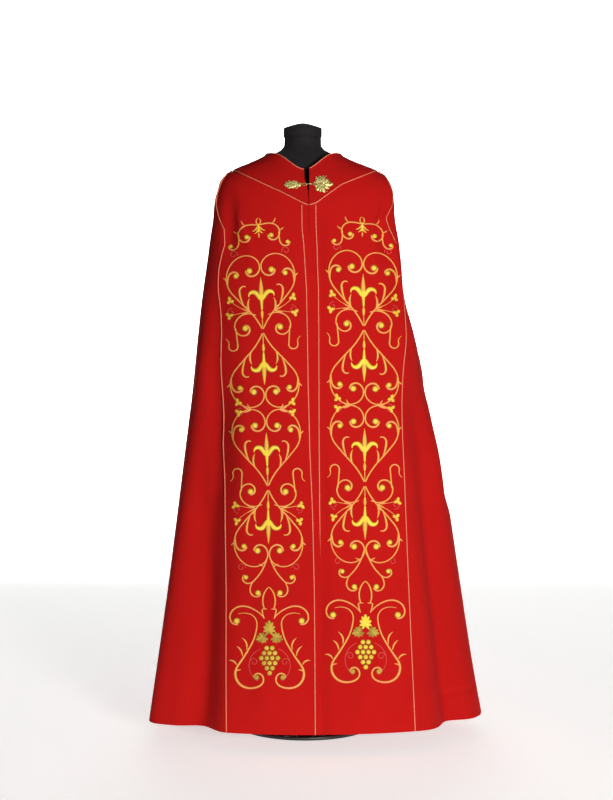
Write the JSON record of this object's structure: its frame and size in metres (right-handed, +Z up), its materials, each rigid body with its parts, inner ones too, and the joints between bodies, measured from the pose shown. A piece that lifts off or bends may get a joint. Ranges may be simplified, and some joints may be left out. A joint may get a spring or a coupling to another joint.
{
  "type": "cope vestment on a limbless dress form",
  "caption": "Long open cope with embroidered front bands, wide pointed collar and metal neck clasp, worn by a limbless dress form on a round-based stand.",
  "frame": {"origin": "centre of the stand's flat underside, on the pole's axis", "axes": "+Z up, the garment's front faces -Y, +X to the right of someone who looks at the front"},
  "size_m": [0.875, 0.7268, 1.6],
  "materials": {
    "cloth_band": "matt fine-woven red cloth with gold satin-stitch scroll embroidery",
    "cloth_body": "matt fine-woven red cloth",
    "cloth_collar": "matt fine-woven red cloth, stiffened",
    "cord": "twisted gold cord",
    "clasp": "cast, gilt, with openwork relief",
    "form_cover": "black jersey stretched over the form",
    "form_cap": "black jersey over a neck cap with a low point",
    "stand": "satin black powder coat"
  },
  "bodies": {
    "root": {"front_band_left": "cloth_band", "front_band_right": "cloth_band", "side_panel_left": "cloth_body", "side_panel_right": "cloth_body", "back_panel_left": "cloth_body", "back_panel_right": "cloth_body", "collar": "cloth_collar", "cord_outer_left": "cord", "cord_inner_left": "cord", "cord_inner_right": "cord", "cord_outer_right": "cord", "cord_collar": "cord", "cord_neck": "cord", "clasp_leaf_left": "clasp", "clasp_leaf_right": "clasp", "clasp_eye": "clasp", "clasp_hook": "clasp", "form_torso": "form_cover", "form_neck_cap": "form_cap", "stand_pole": "stand", "stand_base": "stand"}
  },
  "joints": []
}
